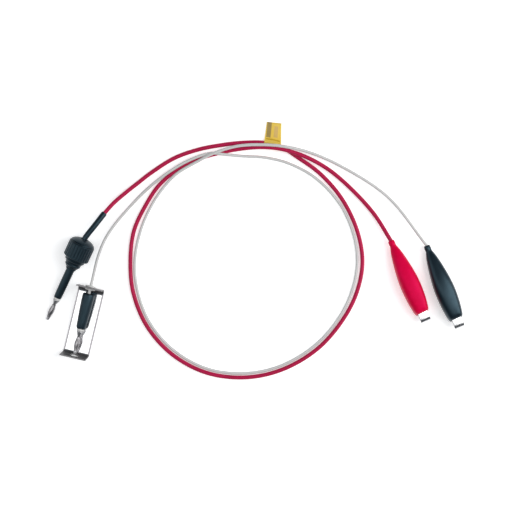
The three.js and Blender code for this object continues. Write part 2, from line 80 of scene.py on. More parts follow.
RETURN_ROUTE = [
    (-166.3, -7.8, 10.5), (-162.2, 9.4, 10.5), (-158.0, 26.8, 10.4), (-151.7, 44.6, 7.6),
    (-143.0, 59.4, 4.2), (-129.2, 76.5, 2.2), (-108.8, 97.4, 3.4), (-83.3, 116.9, 6.0),
    (-62.9, 128.1, 6.0), (-43.6, 134.0, 6.2), (-29.3, 132.8, 5.7), (-10.9, 131.4, 2.3),
    (10.5, 130.2, 1.7), (35.0, 124.4, 1.6), (63.5, 108.8, 1.6), (89.0, 80.8, 1.6),
    (103.3, 45.1, 1.6), (104.6, 13.5, 1.6), (92.1, -24.3, 1.6), (65.6, -58.4, 1.6),
    (29.9, -81.1, 1.6), (-7.9, -89.7, 1.6), (-46.6, -85.3, 1.6), (-79.8, -67.6, 1.6),
    (-104.8, -40.1, 1.6), (-118.0, -7.6, 1.6), (-121.2, 23.7, 1.6), (-115.0, 56.3, 1.6),
    (-103.7, 81.8, 1.9), (-91.5, 99.7, 3.4), (-78.2, 113.2, 5.8), (-56.8, 125.8, 6.2),
    (-39.0, 134.4, 9.9), (-16.0, 140.9, 10.6), (8.5, 142.2, 11.2), (31.9, 140.2, 11.6),
    (59.5, 134.0, 5.0), (93.1, 118.9, 2.2), (137.0, 89.5, 2.0), (175.1, 40.6, 7.0),
]

# The camera looks straight down.
CAMERA_AT = (1.3, 30.8, 1100.0)
CAMERA_LENS = 76.1


# ---------------------------------------------------------------- geometry helpers

def placed(place):
    """The matrix, in millimetres, of a piece whose +X axis follows the heading and the pitch."""
    turn = Matrix.Rotation(math.radians(place["heading"]), 4, "Z")
    dip = Matrix.Rotation(math.radians(place["pitch"]), 4, "Y")
    return Matrix.Translation(Vector(place["at"])) @ turn @ dip


IDENTITY = Matrix.Identity(4)


def mesh_piece(name, points, faces, matrix=IDENTITY, sharp=38):
    """A mesh object from points in millimetres, smooth where faces meet below the sharp angle."""
    mesh = bpy.data.meshes.new(name)
    placed_points = [(matrix @ Vector(p)) * MM for p in points]
    mesh.from_pydata(placed_points, [], faces)
    bm = bmesh.new()
    bm.from_mesh(mesh)
    bmesh.ops.recalc_face_normals(bm, faces=bm.faces)
    bm.to_mesh(mesh)
    bm.free()
    mesh.shade_smooth()
    mesh.set_sharp_from_angle(angle=math.radians(sharp))
    piece = bpy.data.objects.new(name, mesh)
    bpy.context.scene.collection.objects.link(piece)
    return piece


def rounded(outline, radius, closed=True, steps=4):
    """The outline with each corner replaced by a short curve."""
    result = []
    count = len(outline)
    for i, corner in enumerate(outline):
        if not closed and i in (0, count - 1):
            result.append(tuple(corner))
            continue
        here = Vector(corner)
        before = Vector(outline[i - 1]) - here
        after = Vector(outline[(i + 1) % count]) - here
        straight = before.length < 1e-6 or after.length < 1e-6
        if straight or before.angle(-after) < math.radians(12):
            result.append(tuple(corner))
            continue
        start = here + before.normalized() * min(radius, before.length * 0.45)
        end = here + after.normalized() * min(radius, after.length * 0.45)
        for k in range(steps + 1):
            t = k / steps
            point = start * (1 - t) ** 2 + here * 2 * t * (1 - t) + end * t ** 2
            result.append(tuple(point))
    return result


def lathe(name, profile, matrix, sides=96, radius_at=None, sharp=38):
    """A body of revolution about local X, from a profile of (s, r). A profile that doesn't touch
    the axis is closed."""
    points, faces, rings = [], [], []
    for s, r in profile:
        if r < 1e-6:
            rings.append([len(points)])
            points.append((s, 0, 0))
            continue
        ring = []
        for i in range(sides):
            angle = 2 * math.pi * i / sides
            radius = radius_at(s, r, angle) if radius_at else r
            ring.append(len(points))
            points.append((s, radius * math.cos(angle), radius * math.sin(angle)))
        rings.append(ring)
    closed = len(rings[0]) > 1 and len(rings[-1]) > 1
    pairs = list(zip(rings, rings[1:])) + ([(rings[-1], rings[0])] if closed else [])
    for a, b in pairs:
        for i in range(sides):
            j = (i + 1) % sides
            if len(a) == 1 and len(b) == 1:
                continue
            if len(a) == 1:
                faces.append((a[0], b[j], b[i]))
            elif len(b) == 1:
                faces.append((a[i], a[j], b[0]))
            else:
                faces.append((a[i], a[j], b[j], b[i]))
    return mesh_piece(name, points, faces, matrix, sharp)


def smooth_route(route, per_span=12):
    """Points along a centripetal Catmull-Rom curve through the route."""
    knots = [Vector(p) for p in route]
    knots = [knots[0] * 2 - knots[1]] + knots + [knots[-1] * 2 - knots[-2]]
    line = []
    for p0, p1, p2, p3 in zip(knots, knots[1:], knots[2:], knots[3:]):
        d0, d1, d2 = (max((b - a).length ** 0.5, 1e-4) for a, b in ((p0, p1), (p1, p2), (p2, p3)))
        out = ((p1 - p0) / d0 - (p2 - p0) / (d0 + d1) + (p2 - p1) / d1) * d1
        into = ((p2 - p1) / d1 - (p3 - p1) / (d1 + d2) + (p3 - p2) / d2) * d1
        for k in range(per_span):
            t = k / per_span
            line.append(
                p1 + out * t + (p2 * 3 - p1 * 3 - out * 2 - into) * t ** 2
                + (p1 * 2 - p2 * 2 + out + into) * t ** 3
            )
    line.append(knots[-2])
    return line


def frames_along(line):
    """(point, side, up) at each point, carried along the line without twist."""
    result = []
    side = None
    for i, point in enumerate(line):
        ahead = line[min(i + 1, len(line) - 1)] - line[max(i - 1, 0)]
        tangent = ahead.normalized()
        if side is None:
            side = tangent.cross(Vector((0, 0, 1))).normalized()
        side = (side - tangent * side.dot(tangent)).normalized()
        result.append((point, side, side.cross(tangent)))
    return result


def circle(radius, sides):
    """Points (a, b) evenly round a circle."""
    return [
        (radius * math.cos(2 * math.pi * i / sides), radius * math.sin(2 * math.pi * i / sides))
        for i in range(sides)
    ]


def arc(centre, radius, start, end, pieces):
    """Points along an arc from one angle to another, in degrees."""
    points = []
    for i in range(pieces + 1):
        angle = math.radians(start + (end - start) * i / pieces)
        points.append((centre[0] + radius * math.cos(angle), centre[1] + radius * math.sin(angle)))
    return points


def prism(name, outline, width, matrix):
    """An outline in the s-z plane, extruded evenly to both sides of y = 0."""
    count = len(outline)
    points = [(s, -width / 2, z) for s, z in outline] + [(s, width / 2, z) for s, z in outline]
    faces = [tuple(range(count)), tuple(range(2 * count - 1, count - 1, -1))]
    for i in range(count):
        j = (i + 1) % count
        faces.append((i, j, count + j, count + i))
    return mesh_piece(name, points, faces, matrix)


def apply_modifiers(piece):
    """Replace the piece's mesh by the mesh that its modifiers make."""
    bpy.context.view_layer.update()
    graph = bpy.context.evaluated_depsgraph_get()
    mesh = bpy.data.meshes.new_from_object(piece.evaluated_get(graph))
    piece.modifiers.clear()
    piece.data = mesh
    mesh.name = piece.name


def cut(piece, *cutters):
    """Take the cutters out of the piece, and delete them."""
    for cutter in cutters:
        modifier = piece.modifiers.new("cut", "BOOLEAN")
        modifier.operation = "DIFFERENCE"
        modifier.solver = "EXACT"
        modifier.object = cutter
    apply_modifiers(piece)
    for cutter in cutters:
        bpy.data.objects.remove(cutter)


def soften_edges(piece, width, segments=3, angle=32, sharp=38):
    """Round the piece's edges by a small width, where faces meet above the angle."""
    modifier = piece.modifiers.new("soften", "BEVEL")
    modifier.width = width * MM
    modifier.segments = segments
    modifier.limit_method = "ANGLE"
    modifier.angle_limit = math.radians(angle)
    apply_modifiers(piece)
    piece.data.shade_smooth()
    piece.data.set_sharp_from_angle(angle=math.radians(sharp))


def finish_piece(piece, body, slot, materials, *nodes):
    """Ride the piece on its body, give it its looks and hide the CAD nodes it stands for. With a
    list of materials, each face keeps its own index into it."""
    several = isinstance(materials, list)
    kinds = [face.material_index for face in piece.data.polygons] if several else []
    piece.data.materials.clear()
    for one in materials if several else [materials]:
        piece.data.materials.append(one)
    if several:
        piece.data.polygons.foreach_set("material_index", kinds)
    if body:
        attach(piece, body)
    if nodes:
        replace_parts(piece, *nodes)
    return piece


# ---------------------------------------------------------------- materials

def surface(name, color, shade, roughness, metallic=0.0, grain=450, mottle=90, bump=0.15,
            spread=0.08, coat=0.0, stretch=(1, 1, 1), specular=0.5, tint=(1, 1, 1), glow=0.0):
    """A moulded, drawn or plated surface: two close colours, uneven gloss and a fine grain."""
    material = bpy.data.materials.new(name)
    material.use_nodes = True
    tree = material.node_tree
    shader = tree.nodes["Principled BSDF"]
    shader.inputs["Metallic"].default_value = metallic
    shader.inputs["Coat Weight"].default_value = coat
    shader.inputs["Coat Roughness"].default_value = 0.12
    shader.inputs["Specular IOR Level"].default_value = specular
    shader.inputs["Specular Tint"].default_value = (*tint, 1)
    shader.inputs["Emission Color"].default_value = (1, 1, 1, 1)
    shader.inputs["Emission Strength"].default_value = glow
    place = tree.nodes.new("ShaderNodeTexCoord")
    scale = tree.nodes.new("ShaderNodeMapping")
    scale.inputs["Scale"].default_value = stretch
    tree.links.new(place.outputs["Object"], scale.inputs["Vector"])

    def noise(size, detail):
        node = tree.nodes.new("ShaderNodeTexNoise")
        node.inputs["Scale"].default_value = size
        node.inputs["Detail"].default_value = detail
        tree.links.new(scale.outputs["Vector"], node.inputs["Vector"])
        return node.outputs["Fac"]

    ramp = tree.nodes.new("ShaderNodeValToRGB")
    ramp.color_ramp.elements[0].position = 0.32
    ramp.color_ramp.elements[1].position = 0.68
    ramp.color_ramp.elements[0].color = (*shade, 1)
    ramp.color_ramp.elements[1].color = (*color, 1)
    tree.links.new(noise(mottle, 3), ramp.inputs["Fac"])
    tree.links.new(ramp.outputs["Color"], shader.inputs["Base Color"])
    gloss = tree.nodes.new("ShaderNodeMapRange")
    gloss.inputs["To Min"].default_value = roughness - spread
    gloss.inputs["To Max"].default_value = roughness + spread
    tree.links.new(noise(mottle * 2.3, 4), gloss.inputs["Value"])
    tree.links.new(gloss.outputs["Result"], shader.inputs["Roughness"])
    relief = tree.nodes.new("ShaderNodeBump")
    relief.inputs["Strength"].default_value = bump
    relief.inputs["Distance"].default_value = 0.05 * MM
    tree.links.new(noise(grain * 4, 5), relief.inputs["Height"])
    tree.links.new(relief.outputs["Normal"], shader.inputs["Normal"])
    return material


BLUISH = (0.5, 0.82, 1.0)
RED_VINYL = surface("red vinyl", (0.72, 0.002, 0.055), (0.62, 0.002, 0.038), 0.36,
                    tint=(1.0, 0.05, 0.3))
BLACK_VINYL = surface("black vinyl", (0.006, 0.011, 0.017), (0.004, 0.008, 0.013), 0.33,
                      tint=BLUISH)
BLACK_PLASTIC = surface("black plastic", (0.006, 0.011, 0.016), (0.004, 0.008, 0.012), 0.38,
                        tint=BLUISH)
RED_LEAD_SKIN = surface("red insulation", (0.48, 0.012, 0.070), (0.42, 0.010, 0.058), 0.45,
                        tint=(1.0, 0.25, 0.4))
WHITE_LEAD_SKIN = surface("white insulation", (0.64, 0.64, 0.63), (0.60, 0.60, 0.59), 0.45)
WHITE_PLASTIC = surface("white plastic", (0.78, 0.78, 0.77), (0.72, 0.72, 0.70), 0.4)
NICKEL = surface("nickel plate", (0.72, 0.72, 0.73), (0.64, 0.64, 0.65), 0.2, metallic=1)
BRIGHT_STEEL = surface("bright plated sheet", (0.86, 0.86, 0.87), (0.80, 0.80, 0.81), 0.15,
                       metallic=1, spread=0.05, stretch=(1, 0.3, 1))
# Painted shade: a darker metal for the bands along the bracket sheet's long edges, standing in for
# the dark edge reflections.
EDGE_SHADE_STEEL = surface("sheet edge painted dark", (0.50, 0.48, 0.50), (0.45, 0.43, 0.45), 0.5, metallic=1)
# Painted shade: a dark metal for the bracket's flanges and bends, standing in for the dark
# reflections on them.
FLANGE_SHADE_STEEL = surface("flanges painted dark", (0.24, 0.235, 0.24), (0.20, 0.195, 0.20), 0.45, metallic=1)
# Painted shade: a dark nickel for the clip jaws' side walls, standing in for the shade on them.
WALL_SHADE_NICKEL = surface("jaw walls painted dark", (0.26, 0.26, 0.27), (0.21, 0.21, 0.22), 0.45, metallic=1)
PIN_NICKEL = surface("pin nickel", (0.52, 0.52, 0.53), (0.44, 0.44, 0.45), 0.36, metallic=1)
SPRING_STEEL = surface("spring steel", (0.40, 0.39, 0.40), (0.32, 0.31, 0.32), 0.38, metallic=1)
COPPER = surface("copper strand", (0.66, 0.36, 0.23), (0.52, 0.28, 0.18), 0.35, metallic=1)
LABEL_YELLOW = surface("label yellow", (0.88, 0.62, 0.10), (0.82, 0.56, 0.07), 0.4)
LABEL_BAND = surface("label band", (0.42, 0.30, 0.10), (0.34, 0.24, 0.07), 0.4)
LABEL_INK = surface("label line", (0.62, 0.38, 0.02), (0.50, 0.30, 0.02), 0.4)
LABEL_PANEL = surface("label panel", (0.74, 0.50, 0.16), (0.66, 0.44, 0.13), 0.4)


# ---------------------------------------------------------------- camera, floor and light

def add_camera():
    camera = bpy.data.objects.new("camera", bpy.data.cameras.new("camera"))
    camera.location = Vector(CAMERA_AT) * MM
    camera.data.lens = CAMERA_LENS
    camera.data.sensor_width = 36
    bpy.context.scene.collection.objects.link(camera)
    bpy.context.scene.camera = camera


def add_floor():
    """A pale floor with a weak glow, like a light table."""
    half = 2.5
    mesh = bpy.data.meshes.new("floor")
    mesh.from_pydata([(-half, -half, 0), (half, -half, 0), (half, half, 0), (-half, half, 0)], [],
                     [(0, 1, 2, 3)])
    floor = bpy.data.objects.new("floor", mesh)
    bpy.context.scene.collection.objects.link(floor)
    mesh.materials.append(
        surface("floor white", (0.93, 0.93, 0.935), (0.92, 0.92, 0.925), 0.7, grain=60, mottle=3,
                bump=0.02, specular=0.1, glow=0.44))


def add_light(name, at, size, power, aim=(0, 0.02, 0)):
    data = bpy.data.lights.new(name, "AREA")
    data.shape = "RECTANGLE"
    data.size, data.size_y = size
    data.energy = power
    light = bpy.data.objects.new(name, data)
    light.location = at
    light.rotation_euler = (Vector(aim) - Vector(at)).to_track_quat("-Z", "Y").to_euler()
    bpy.context.scene.collection.objects.link(light)


def add_lighting():
    add_light("left softbox", (-1.0, 0.1, 0.95), (0.8, 1.4), 4.5)
    add_light("right softbox", (1.0, 0.1, 0.95), (0.8, 1.4), 15.5)
    add_light("overhead softbox", (0.05, -0.25, 1.9), (1.7, 0.8), 7.6, aim=(0.05, -0.25, 0))
    world = bpy.data.worlds.new("studio")
    bpy.context.scene.world = world
    world.use_nodes = True
    world.node_tree.nodes["Background"].inputs["Color"].default_value = (0.85, 0.93, 1.0, 1)
    world.node_tree.nodes["Background"].inputs["Strength"].default_value = 0.12
    bpy.context.scene.view_settings.view_transform = "Standard"


add_camera()
add_floor()
add_lighting()


# ---------------------------------------------------------------- the free leads

def lead_curve(name, line, radius, material, slot, node):
    """A lead as a round curve along a line of points."""
    curve = bpy.data.curves.new(name, "CURVE")
    curve.dimensions = "3D"
    curve.bevel_depth = radius * MM
    curve.bevel_resolution = 9
    curve.use_fill_caps = True
    spline = curve.splines.new("POLY")
    spline.points.add(len(line) - 1)
    for point, at in zip(spline.points, line):
        point.co = (*(at * MM), 1)
    spline.use_smooth = True
    lead = bpy.data.objects.new(name, curve)
    bpy.context.scene.collection.objects.link(lead)
    return finish_piece(lead, "root", slot, material, node)


def reaching_in(line, into):
    """The line, run on a little at both ends, so that it shows no gap where it enters a piece."""
    start = line[0] + (line[0] - line[1]).normalized() * into
    end = line[-1] + (line[-1] - line[-2]).normalized() * into
    return [start] + line[1:-1] + [end]


HV_LINE = smooth_route(HV_ROUTE)
RETURN_LINE = smooth_route(RETURN_ROUTE)


FLAG_REACH = 22.6
FLAG_LOOP_R = 2.32
FLAG_EDGE = [(13.4, 166.6, 0), (28.3, 165.0, 0)]
FLAG_BASE = [(10.7, 145.2, 0), (27.2, 142.2, 0)]
FLAG_FILM = 0.14
FLAG_PART_OF_LEAD = slice(90, 150)


def label_line():
    """The folded label's section, as (out from the lead, height over its centre)."""
    top = [
        (FLAG_REACH, -2.3), (21, -2.3), (19, -2.28), (16, -2.24), (13, -2.15), (10, -1.95),
        (7.5, -1.6), (6.4, -1.35), (5.4, -1.0), (4.6, -0.6), (4.0, -0.25), (3.4, 0.2),
    ]
    loop = arc((0, 0), FLAG_LOOP_R, 35, 300, 22)
    under = [
        (2.6, -2.05), (4.6, -2.0), (7.5, -2.05), (12, -2.3), (17, -2.52), (FLAG_REACH, -2.56),
    ]
    return top + loop + under


def add_label():
    """A label folded over the lead and stuck to itself, lying flat on the table as a flag."""
    across = 40
    section = label_line()
    edge_from, edge_to = (Vector(corner) for corner in FLAG_EDGE)
    near, far = (Vector(corner) for corner in FLAG_BASE)
    points, faces, marks = [], [], []
    for i in range(across + 1):
        u = i / across
        edge, base = edge_from.lerp(edge_to, u), near.lerp(far, u)
        centre = min(HV_LINE[FLAG_PART_OF_LEAD], key=lambda p: abs(p.x - base.x))
        for away, height in section:
            if away > 3.3:
                at = centre.lerp(edge, away / FLAG_REACH)
                at.z = centre.z + height
            else:
                at = centre + Vector((away * 0.12, away * 0.99, height))
            points.append(at)
    count = len(section)
    for i in range(across):
        u = (i + 0.5) / across
        for k in range(count - 1):
            a = i * count + k
            faces.append((a, a + 1, a + count + 1, a + count))
            away = (section[k][0] + section[k + 1][0]) / 2
            on_top = k < 12
            printed = on_top and away > 4.0
            line = printed and away < 5.4 and 0.08 < u < 0.92
            band = printed and away > 6.4 and 0.06 < u < 0.34
            panel = printed and 7.5 < away < 19 and 0.55 < u < 0.8
            marks.append(2 if line else 1 if band else 3 if panel else 0)
    label = mesh_piece("warning_flag", points, faces)
    finish_piece(label, None, "yellow_label", [LABEL_YELLOW, LABEL_BAND, LABEL_INK, LABEL_PANEL])
    for face, mark in zip(label.data.polygons, marks):
        face.material_index = mark
    skin = label.modifiers.new("film", "SOLIDIFY")
    skin.thickness = FLAG_FILM * MM
    skin.offset = 0
    apply_modifiers(label)
    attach(label, "root")
    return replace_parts(label, "flag_label")


LEAD_OVERLAP = 1.0


def add_leads():
    """Both leads as round curves along their routes, and the label on the hv lead."""
    label = add_label()
    red = lead_curve("hv_lead_cable", reaching_in(HV_LINE, LEAD_OVERLAP), HV_LEAD_R, RED_LEAD_SKIN,
                     "red_lead", "hv_lead")
    white = lead_curve("return_lead_cable", reaching_in(RETURN_LINE, LEAD_OVERLAP), RETURN_LEAD_R,
                       WHITE_LEAD_SKIN, "white_lead", "return_lead")


add_leads()


# ---------------------------------------------------------------- plugs

def add_pin(prefix, place, front):
    """The 4 mm banana pin from s = front: white washer, turned core and slotted spring basket."""
    matrix = placed(place)
    at = [(front + s, r) for s, r in ((0.3, 1.9), (0.3, 3.7), (1.9, 3.7), (1.9, 1.9))]
    washer = lathe(prefix + "_washer", rounded(at, 0.25), matrix, 64)
    finish_piece(washer, "root", "white_plastic", WHITE_PLASTIC, prefix + "_pin_insulator")
    cup = -14.5  # where the solder cup starts, behind the shoulder
    core = [
        (cup + 5, 0), (cup + 5, 1.05), (cup, 1.05), (cup, 1.55), (2.2, 1.55), (2.2, 3.3),
        (3.1, 3.45), (5.4, 2.5), (7.6, 1.75), (8.0, 1.35), (22.8, 1.35), (22.8, 1.75),
        (24.8, 1.7), (25.7, 1.1), (26.0, 0),
    ]
    turned = rounded([(front + s, r) for s, r in core], 0.3, closed=False)
    pin = lathe(prefix + "_banana_pin", turned, matrix, 64)
    finish_piece(pin, "root", "nickel", PIN_NICKEL, prefix + "_pin")
    bow = [(8.3, 1.95), (10.0, 2.0), (11.4, 2.25), (13.0, 2.6), (15.4, 2.8), (17.8, 2.6),
           (19.4, 2.25), (20.8, 2.0), (22.5, 1.95)]
    wall = 0.28
    outer = [(front + s, r) for s, r in bow]
    inner = [(s, r - wall) for s, r in reversed(outer)]
    basket = lathe(prefix + "_basket", outer + inner, matrix, 96)
    slots = []
    middle, slot_size = 15.4, (10.4, 8, 0.55, 1)
    for i in range(3):
        bpy.ops.mesh.primitive_cube_add(size=1)
        slot = bpy.context.object
        slot.matrix_world = (
            Matrix.Scale(MM, 4) @ matrix @ Matrix.Rotation(math.radians(60 * i + 6), 4, "X")
            @ Matrix.Translation((front + middle, 0, 0)) @ Matrix.Diagonal(slot_size)
        )
        slots.append(slot)
    cut(basket, *slots)
    basket.data.set_sharp_from_angle(angle=math.radians(38))
    finish_piece(basket, "root", "spring_steel", SPRING_STEEL, prefix + "_pin_spring")


RING_R = 13.2
RING_RIBS = 24
RIB_DEPTH = 0.55
HV_TUBE_R = 4.2
HV_TUBE_END = 66.6
HANDLE_END = 36.6

# The lock ring's nose: (distance along the plug, radius), from the ring's front face on.
NOSE = [
    (21.4, 10.4), (24.7, 10.1), (25.4, 8.6), (27.2, 8.3), (27.5, 7.7), (28.1, 7.7), (28.4, 8.1),
    (29.6, 7.9), (30.2, 7.0), (31.3, 6.6), (32.4, 5.4),
]


def rib_radius(s, r, angle):
    """Shallow ribs along the outside of the lock ring, fading out before its two edges."""
    if r < 11:
        return r
    fade = min(1, max(0, (s - 5.6) / 1.2)) * min(1, max(0, (21.0 - s) / 1.2))
    wave = abs(math.sin(angle * RING_RIBS / 2)) ** 0.6
    return r - RIB_DEPTH * fade * (1 - wave)


def add_hv_plug():
    """The lock ring and its dome, the plug body, the snap ring, the pin and the sleeve."""
    matrix = placed(HV_PLUG)
    bore = HV_TUBE_R + 0.4
    outside = [(5.0, 9.2), (5.0, RING_R - 0.6), (5.6, RING_R)]
    outside += [(s, RING_R) for s in (6.2, 6.8, 8, 12, 16, 18.6, 19.6, 20.2)]
    outside += [(20.8, RING_R), (21.4, RING_R - 0.7)] + NOSE
    outside += [(32.4, bore), (14, bore), (14, 9.2)]
    ring = lathe("lock_ring", rounded(outside, 0.3, steps=2), matrix, 240, rib_radius, sharp=50)
    finish_piece(ring, "lock_ring", "black_plastic", BLACK_PLASTIC, "hv_lock_ring")
    dome = [
        (0.9, 3.5), (0.2, 3.8), (0.0, 4.6), (0.4, 6.2), (1.0, 8.0), (2.0, 10.0), (3.2, 11.6),
        (4.3, 12.4), (4.7, 12.4), (4.7, 3.5),
    ]
    cap = lathe("lock_ring_dome", rounded(dome, 0.4), matrix, 96, sharp=50)
    finish_piece(cap, "lock_ring", "black_plastic", BLACK_PLASTIC, "hv_lock_ring_cap")
    body = [
        (5.6, 2.5), (5.6, 8.6), (13.4, 8.6), (13.4, HV_TUBE_R), (36, HV_TUBE_R + 0.05),
        (50, HV_TUBE_R), (62, HV_TUBE_R - 0.15), (HV_TUBE_END, 3.9), (HV_TUBE_END, 1.9), (45, 1.9),
        (45, 2.5),
    ]
    tube = lathe("hv_tube", rounded(body, 0.35), matrix)
    finish_piece(tube, "root", "black_plastic", BLACK_PLASTIC, "hv_plug_body")
    snap = [(32.8, 4.45), (32.8, 5.3), (34.0, 5.3), (34.0, 4.45)]
    snap_ring = lathe("snap_ring", rounded(snap, 0.25), matrix)
    finish_piece(snap_ring, "root", "black_plastic", BLACK_PLASTIC, "hv_retaining_ring")
    add_pin("hv", HV_PLUG, HV_TUBE_END)
    add_sleeve(matrix)


def shell(name, outer, inner, matrix, lips=((1, 1), (1, 1)), sharp=50):
    """A hollow skin from matching outer and inner rings, closed by a round lip at each end."""
    sides = len(outer[0])

    def lip(a, b, forward):
        rings = []
        reach = (a[0] - b[0]).length / 2
        for step in range(1, 6):
            angle = math.pi * step / 6
            share = (1 - math.cos(angle)) / 2
            rings.append([p.lerp(q, share) + forward * reach * math.sin(angle)
                          for p, q in zip(a, b)])
        return rings

    def axis(ring, other):
        here = sum(ring, Vector()) / sides
        return (here - sum(other, Vector()) / sides).normalized()

    rings = list(outer)
    rings += lip(outer[-1], inner[-1], axis(outer[-1], outer[-2]))
    rings += list(reversed(inner))
    rings += lip(inner[0], outer[0], axis(outer[0], outer[1]))
    points = [p for ring in rings for p in ring]
    faces = []
    for i in range(len(rings)):
        a, b = i * sides, ((i + 1) % len(rings)) * sides
        for k in range(sides):
            n = (k + 1) % sides
            faces.append((a + k, a + n, b + n, b + k))
    return mesh_piece(name, points, faces, matrix, sharp)


SLEEVE_END = [(-159.5, 61.0, 15.4), (-150.9, 72.75, 12.1)]
SLEEVE_R = 2.85
SLEEVE_FLARE = 0.15
SLEEVE_BORE_R = 2.2


def add_sleeve(matrix):
    """The sleeve that the hv lead leaves the lock ring in."""
    on_axis = [matrix @ Vector((s, 0, 0)) for s in (5.2, -1)]
    line = smooth_route(on_axis + [Vector(point) for point in SLEEVE_END], 14)
    outer, inner = [], []
    for i, (point, side, up) in enumerate(frames_along(line)):
        fullness = SLEEVE_R + SLEEVE_FLARE * i / len(line)
        outer.append([point + (side * a + up * b) * fullness for a, b in circle(1, 48)])
        inner.append([point + (side * a + up * b) * SLEEVE_BORE_R for a, b in circle(1, 48)])
    sleeve = shell("cable_sleeve", outer, inner, IDENTITY)
    finish_piece(sleeve, "root", "black_vinyl", BLACK_VINYL, "hv_cable_sleeve")


def add_return_plug():
    """The handle, its pin and the bushing that holds the bracket on the lead."""
    matrix = placed(RETURN_PLUG)
    handle = [
        (0, 1.9), (0, 5.4), (0.9, 6.0), (2.4, 6.2), (9, 6.15), (16, 5.9), (22, 5.6), (29, 5.2),
        (34.4, 4.9), (36.0, 4.5), (HANDLE_END, 3.9), (HANDLE_END, 1.9),
    ]
    grip = lathe("return_handle", rounded(handle, 0.5), matrix)
    finish_piece(grip, "root", "black_plastic", BLACK_PLASTIC, "return_plug_handle")
    add_pin("return", RETURN_PLUG, HANDLE_END)
    bushing = [
        (-8.2, 2.1), (-8.2, 4.6), (-7.7, 5.3), (-7.0, 5.3), (-7.0, 3.9), (-4.9, 3.9), (-4.9, 5.3),
        (-4.2, 5.3), (-3.7, 4.6), (-3.7, 2.1),
    ]
    eye = lathe("bracket_grommet", rounded(bushing, 0.25), matrix)
    finish_piece(eye, "grommet", "white_plastic", WHITE_PLASTIC, "return_grommet")


# The bracket's side view: its sheet, its bends' inner radii, where its rear flange and its front
# bend's centre stand along the plug, and how far the front flange leans out, in degrees.
BRACKET = {
    "width": 26.5, "sheet": 1.2, "height": 20.5, "rear_bend": 6.0, "front_bend": 2.5,
    "rear": -6.7, "front": 60.65, "lean": 6,
}


def bracket_outline():
    """The bracket's side view as (distance along the plug, height over the table)."""
    sheet, height = BRACKET["sheet"], BRACKET["height"]
    rear_r, front_r = BRACKET["rear_bend"], BRACKET["front_bend"]
    rear = (BRACKET["rear"] + rear_r + sheet, rear_r + sheet)
    front = (BRACKET["front"], front_r + sheet)
    lean = math.radians(BRACKET["lean"])

    def top(radius):
        start = front[0] + radius * math.cos(lean)
        rise = height - (front[1] - radius * math.sin(lean))
        return (start + rise * math.tan(lean), height)

    return (
        [(BRACKET["rear"], height)] + arc(rear, rear_r + sheet, 180, 270, 20)
        + arc(front, front_r + sheet, 270, 360 - BRACKET["lean"], 16)
        + [top(front_r + sheet), top(front_r)]
        + arc(front, front_r, 360 - BRACKET["lean"], 270, 16) + arc(rear, rear_r, 270, 180, 20)
        + [(BRACKET["rear"] + sheet, height)]
    )


EDGE_BAND = 1.5
BENDS_ABOVE = 1.6


def paint_shade_on_edges_and_bends(sheet, matrix):
    """Give the bands along the sheet's two long edges the second material, a darker metal painted
    on as shade, and everything above the flat plate, the flanges and bends, the third, a painted
    shade darker still."""
    across = (matrix.to_3x3() @ Vector((0, 1, 0))).normalized()
    centre = matrix.translation * MM
    mesh = bmesh.new()
    mesh.from_mesh(sheet.data)
    inset = (BRACKET["width"] / 2 - EDGE_BAND) * MM
    for side in (-1, 1):
        bmesh.ops.bisect_plane(mesh, geom=mesh.verts[:] + mesh.edges[:] + mesh.faces[:],
                               plane_co=centre + across * inset * side, plane_no=across)
    for face in mesh.faces:
        middle = face.calc_center_median()
        on_edge = abs((middle - centre).dot(across)) > inset
        bent = middle.z > BENDS_ABOVE * MM
        face.material_index = 2 if bent else 1 if on_edge else 0
    mesh.to_mesh(sheet.data)
    mesh.free()


def add_bracket():
    """The U-shaped bracket, with a hole in each flange."""
    matrix = placed(RETURN_PLUG)
    outline = [(s, z - RETURN_PLUG["at"][2]) for s, z in bracket_outline()]
    sheet = prism("bracket_sheet", outline, BRACKET["width"], matrix)
    rear_hole = lathe("rear hole", [(-10, 0), (-10, 4.2), (1, 4.2), (1, 0)], matrix)
    front_hole = lathe("front hole", [(60, 0), (60, 4.5), (70, 4.5), (70, 0)], matrix)
    cut(sheet, rear_hole, front_hole)
    paint_shade_on_edges_and_bends(sheet, matrix)
    soften_edges(sheet, 0.5, segments=4)
    # The edge bands and the flanges and bends take darker metals as painted shade.
    looks = [BRIGHT_STEEL, EDGE_SHADE_STEEL, FLANGE_SHADE_STEEL]
    finish_piece(sheet, "bracket", "bright_steel", looks, "return_bracket")


add_hv_plug()
add_return_plug()
add_bracket()


# ---------------------------------------------------------------- clips

# The boots: (s, width, height, height of the centre, roundness), from the neck to the mouth.
BOOT = [
    (0, 6.1, 6.1, 7.0, 2), (1.5, 6.6, 6.6, 7.0, 2), (3.6, 6.6, 6.6, 7.0, 2),
    (5.2, 6.4, 6.4, 7.1, 2), (8, 8.1, 7.7, 7.2, 2.1), (12, 10.6, 9.8, 7.4, 2.2),
    (20, 13.9, 13.0, 8.0, 2.5),
    (30, 17.0, 16.0, 8.7, 2.8), (40, 19.3, 18.1, 9.15, 2.9), (50, 20.3, 18.8, 9.4, 2.9),
    (60, 19.6, 18.4, 9.3, 2.9), (68, 18.2, 17.6, 9.2, 2.9), (74, 16.4, 16.4, 9.15, 2.9),
    (76, 15.7, 15.8, 9.1, 2.9), (77.6, 14.8, 14.9, 9.0, 2.9), (78.5, 13.9, 13.8, 8.9, 2.9),
    (79, 13.2, 12.8, 8.8, 2.9),
]
BOOT_WALL = 1.2
MOUTH_SLANT = 0.22


